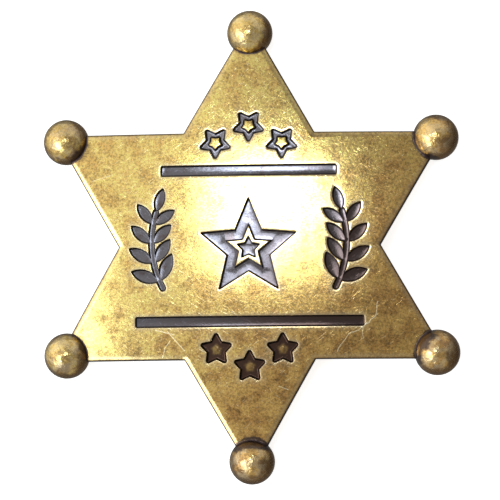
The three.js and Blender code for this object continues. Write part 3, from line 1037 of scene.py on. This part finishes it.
def neck_shell(s, first):
    """Vertices, faces and creases of the fillet that runs round the ball's neck."""
    steps = 7
    sunk = 0.004
    count = len(neck_section(s, s.ball_radius))
    vertices = []
    crease = []
    for index in range(count):
        # Halves the way along the point until it meets the ball
        low, high = 0.5, s.ball_radius + 1.0
        for _ in range(30):
            middle = (low + high) / 2
            if neck_point(s, index, middle)[0].length < s.ball_radius:
                low = middle
            else:
                high = middle
        corner, away = neck_point(s, index, low)
        on_ball = (corner + away * s.neck_fillet).normalized() * (s.ball_radius - sunk)
        on_plate = neck_point(s, index, low + s.neck_fillet * 1.2)[0] - away * sunk
        for k in range(steps + 1):
            t = k / steps
            point = on_ball * (1 - t) ** 2 + corner * 2 * t * (1 - t) + on_plate * t * t
            vertices.append(tuple(point))
            # The crease darkens the fillet's middle, dirt with painted shade
            crease.append(min(1.0, 1.3 * math.sin(math.pi * t)))
    faces = []
    for index in range(count):
        here = first + index * (steps + 1)
        onward = first + ((index + 1) % count) * (steps + 1)
        for k in range(steps):
            faces.append((here + k, onward + k, onward + k + 1, here + k + 1))
    return vertices, faces, crease


def ball_with_neck(s, material):
    """One ball at the origin whose star point runs off towards -Y."""
    vertices, faces = ball_shell(s)
    neck, neck_faces, neck_crease = neck_shell(s, len(vertices))
    crease = [0.0] * len(vertices) + neck_crease
    vertices += neck
    piece = new_piece("ball_template", vertices, faces + neck_faces, material)
    piece.data.shade_smooth()
    none = np.zeros(len(vertices))
    store_masks(
        piece.data, depth=none, wall=none, halo=none, crease=crease,
        # ball grows lower down: the painted highlight lies on the top, the stains with painted
        # shade low down
        ball=[1.0 - 0.7 * z / s.ball_radius for _, _, z in vertices],
        # neck grows towards the plate, where dirt and painted shade lie
        neck=[0.33 - y / s.ball_radius for _, y, _ in vertices],
    )
    return piece


def ball_ring_tree(material):
    """A node tree that sets a ball at every point of the star, and its inputs by name."""
    tree = bpy.data.node_groups.new("balls_at_points", "GeometryNodeTree")
    kinds = {
        "Geometry": "NodeSocketGeometry",
        "Ball Count": "NodeSocketInt",
        "Circle Radius": "NodeSocketFloat",
        "Centre Height": "NodeSocketFloat",
    }
    face = tree.interface
    inputs = {}
    for name, kind in kinds.items():
        inputs[name] = face.new_socket(name, in_out="INPUT", socket_type=kind)
    face.new_socket("Geometry", in_out="OUTPUT", socket_type="NodeSocketGeometry")

    graph = Graph(tree)
    given = graph.node("NodeGroupInput")
    angle = graph.node("GeometryNodeInputIndex")["Index"] * (math.tau / given["Ball Count"])
    across = graph.math("SINE", angle) * given["Circle Radius"]
    along = graph.math("COSINE", angle) * given["Circle Radius"]
    place = graph.node("ShaderNodeCombineXYZ", {
        "X": across * -1.0, "Y": along, "Z": given["Centre Height"],
    })["Vector"]
    spin = graph.node("ShaderNodeCombineXYZ", {"Z": angle})["Vector"]
    points = graph.node("GeometryNodePoints", {
        "Count": given["Ball Count"], "Position": place,
    })["Points"]
    balls = graph.node("GeometryNodeInstanceOnPoints", {
        "Points": points, "Instance": given["Geometry"], "Rotation": spin,
    })["Instances"]
    real = graph.node("GeometryNodeRealizeInstances", {"Geometry": balls})["Geometry"]
    painted = graph.node("GeometryNodeSetMaterial", {
        "Geometry": real, "Material": material,
    })["Geometry"]
    graph.node("NodeGroupOutput", {"Geometry": painted})
    return tree, inputs


def applied(piece, name):
    """The evaluated piece as a plain mesh object of its own."""
    shown = piece.evaluated_get(bpy.context.evaluated_depsgraph_get())
    mesh = bpy.data.meshes.new_from_object(shown)
    mesh.name = name
    made = bpy.data.objects.new(name, mesh)
    bpy.context.scene.collection.objects.link(made)
    bpy.data.objects.remove(piece)
    return made


def make_ball_tips(material):
    s = sizes()
    template = ball_with_neck(s, material)
    tree, inputs = ball_ring_tree(material)
    modifier = template.modifiers.new("balls", "NODES")
    modifier.node_group = tree
    modifier[inputs["Ball Count"].identifier] = BALL_COUNT
    modifier[inputs["Circle Radius"].identifier] = s.ball_circle * MM
    modifier[inputs["Centre Height"].identifier] = s.ball_z * MM
    piece = applied(template, "ball_tips")
    paint_shade_on_ball_sides(piece.data, s)
    return piece


def paint_shade_on_ball_sides(mesh, s):
    """Paints shade on every ball's right and lower side by letting its stain reach further there.
    """
    places = np.zeros(len(mesh.vertices) * 3)
    mesh.vertices.foreach_get("co", places)
    places = places.reshape(-1, 3) / MM
    each = len(places) // BALL_COUNT
    ball = np.zeros(len(places))
    layer = mesh.attributes["ball"].data
    layer.foreach_get("value", ball)
    for k in range(BALL_COUNT):
        span = slice(k * each, (k + 1) * each)
        x, y = (places[span, :2] - ball_centre(s, k)).T
        ball[span] += 0.3 * (0.8 * x - 0.6 * y) / s.ball_radius
    layer.foreach_set("value", ball.astype(np.float32))


# Operators

def settle(piece, slot, *nodes):
    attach(piece, "root")
    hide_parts(*nodes)


def shared_brass():
    return bpy.data.materials.get("antique_brass") or brass_material()


class BADGE_OT_star_plate(bpy.types.Operator):
    """Makes the star plate with its sunken figures"""

    bl_idname = "badge.star_plate"
    bl_label = "Star Plate"

    def execute(self, context):
        settle(make_star_plate(shared_brass()), "brass", "star_body")
        return {"FINISHED"}


class BADGE_OT_ball_tips(bpy.types.Operator):
    """Makes the six ball tips"""

    bl_idname = "badge.ball_tips"
    bl_label = "Ball Tips"

    def execute(self, context):
        settle(make_ball_tips(shared_brass()), "brass", "star_body")
        return {"FINISHED"}


class BADGE_OT_pin(bpy.types.Operator):
    """Gives the pin on the back its finish"""

    bl_idname = "badge.pin"
    bl_label = "Pin"

    def execute(self, context):
        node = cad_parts["pin_back"]
        material = pin_material()
        for slot in node.material_slots:
            slot.material = material
        return {"FINISHED"}


class BADGE_OT_stage(bpy.types.Operator):
    """Sets the floor, the lights and the camera"""

    bl_idname = "badge.stage"
    bl_label = "Stage"

    def execute(self, context):
        make_floor()
        make_lights()
        make_room()
        make_camera()
        return {"FINISHED"}


class BADGE_PT_panel(bpy.types.Panel):
    """Lists the badge's steps, sizes and colours"""

    bl_idname = "BADGE_PT_panel"
    bl_label = "Star Badge"
    bl_space_type = "VIEW_3D"
    bl_region_type = "UI"
    bl_category = "Star Badge"

    def draw(self, context):
        column = self.layout.column()
        for step in STEPS:
            column.operator(step.bl_idname)
        for group in (context.scene.badge_sizes, context.scene.badge_colours):
            for key in group.__annotations__:
                column.prop(group, key)


# Stage

LIGHT_TINT = (0.80, 0.91, 1.0)
ROOM_TINT = (1.0, 0.97, 0.92)

# The photograph's width and scale in pixels, and the camera's place in millimetres
PHOTO_WIDTH = 500.0
PIXELS_PER_MM = 7.436
CAMERA_DISTANCE = 627.0
CAMERA_TARGET = (-0.024, -0.48, 4.0)
SENSOR_WIDTH = 36.0

# How far the camera stands to the right and below, and its roll, in degrees
CAMERA_RIGHT = 5.80
CAMERA_BELOW = 3.72
CAMERA_ROLL = -0.32


def make_floor():
    bpy.ops.mesh.primitive_plane_add(size=6.0, location=(0, 0, -0.00002))
    floor = bpy.context.object
    floor.name = "floor"
    floor.data.materials.append(floor_material())
    floor.visible_glossy = False


def facing(back):
    """A turn that looks against the given direction with +Y upwards."""
    right = Vector((0, 1, 0)).cross(back).normalized()
    up = back.cross(right)
    return Matrix((right, up, back)).transposed()


def soft_light(name, place, width, height, power):
    """A light that shines from its place, in metres, towards the badge."""
    data = bpy.data.lights.new(name, "AREA")
    data.color = LIGHT_TINT
    data.shape = "RECTANGLE"
    data.size = width
    data.size_y = height
    data.energy = power
    light = bpy.data.objects.new(name, data)
    light.location = place
    light.rotation_euler = facing(Vector(place).normalized()).to_euler()
    bpy.context.scene.collection.objects.link(light)


def make_lights():
    soft_light("window_left", (-0.522, -0.30, 0.69), 0.42, 0.75, 2.75)
    soft_light("near_camera", (-0.046, 0.092, 0.742), 0.20, 0.175, 0.47)
    soft_light("ceiling_lamp", (-0.040, 0.140, 0.742), 0.12, 0.09, 0.27)


def make_room():
    """A soft room all round, lighter at the sides, with a glow above and a pale pane."""
    world = bpy.data.worlds.new("soft_room")
    bpy.context.scene.world = world
    graph = Graph(world)
    direction = graph.node("ShaderNodeTexCoord")["Generated"]
    split = graph.node("ShaderNodeSeparateXYZ", {"Vector": direction})
    across, along, up = split["X"], split["Y"], split["Z"]
    room = 0.10 + 0.20 * across.between(1.1, 0.4) + 0.18 * across.between(-0.25, -0.8)
    room = room * (0.6 + 0.4 * up.between(-0.8, 0.0))
    level = up.between(0.85, 0.6) * up.between(-0.5, 0.0)
    room = room * (1.0 + level * (0.4 + 0.8 * along.between(-0.6, 0.5)))
    glow = across.between(0.08, -0.24) * up.between(0.55, 0.85)
    glow = glow * (0.4 + 0.6 * along.between(-0.25, 0.08))
    pane = across.between(-0.52, -0.66) * across.between(-0.95, -0.86)
    pane = pane * along.between(-0.55, -0.32) * along.between(0.32, 0.05)
    pane = pane * up.between(0.15, 0.4)
    shown = graph.node("ShaderNodeBackground", {
        "Color": (*ROOM_TINT, 1.0), "Strength": room + 0.48 * glow + 1.1 * pane,
    })["Background"]
    graph.node("ShaderNodeOutputWorld", {"Surface": shown})


def make_camera():
    right = math.radians(CAMERA_RIGHT)
    below = math.radians(CAMERA_BELOW)
    back = Vector((
        math.sin(right), -math.sin(below) * math.cos(right), math.cos(below) * math.cos(right),
    ))
    data = bpy.data.cameras.new("camera")
    data.sensor_width = SENSOR_WIDTH
    data.lens = PIXELS_PER_MM * CAMERA_DISTANCE / PHOTO_WIDTH * SENSOR_WIDTH
    data.clip_start = 0.01
    camera = bpy.data.objects.new("camera", data)
    camera.location = (Vector(CAMERA_TARGET) + back * CAMERA_DISTANCE) * MM
    roll = Matrix.Rotation(math.radians(CAMERA_ROLL), 3, "Z")
    camera.rotation_euler = (facing(back) @ roll).to_euler()
    bpy.context.scene.collection.objects.link(camera)
    bpy.context.scene.camera = camera
    bpy.context.scene.view_settings.view_transform = "Standard"


# Steps in the order in which they run, and the classes to register

STEPS = (BADGE_OT_star_plate, BADGE_OT_ball_tips, BADGE_OT_pin, BADGE_OT_stage)
CLASSES = (BadgeSizes, BadgeColours, *STEPS, BADGE_PT_panel)


def register():
    for entry in CLASSES:
        bpy.utils.register_class(entry)
    bpy.types.Scene.badge_sizes = bpy.props.PointerProperty(type=BadgeSizes)
    bpy.types.Scene.badge_colours = bpy.props.PointerProperty(type=BadgeColours)


def unregister():
    del bpy.types.Scene.badge_colours
    del bpy.types.Scene.badge_sizes
    for entry in reversed(CLASSES):
        bpy.utils.unregister_class(entry)


def plain(box):
    return [[float(value) for value in corner] for corner in box]


def main():
    register()
    bpy.ops.badge.star_plate()
    bpy.ops.badge.ball_tips()
    bpy.ops.badge.pin()
    bpy.ops.badge.stage()


if __name__ == "__main__":
    main()
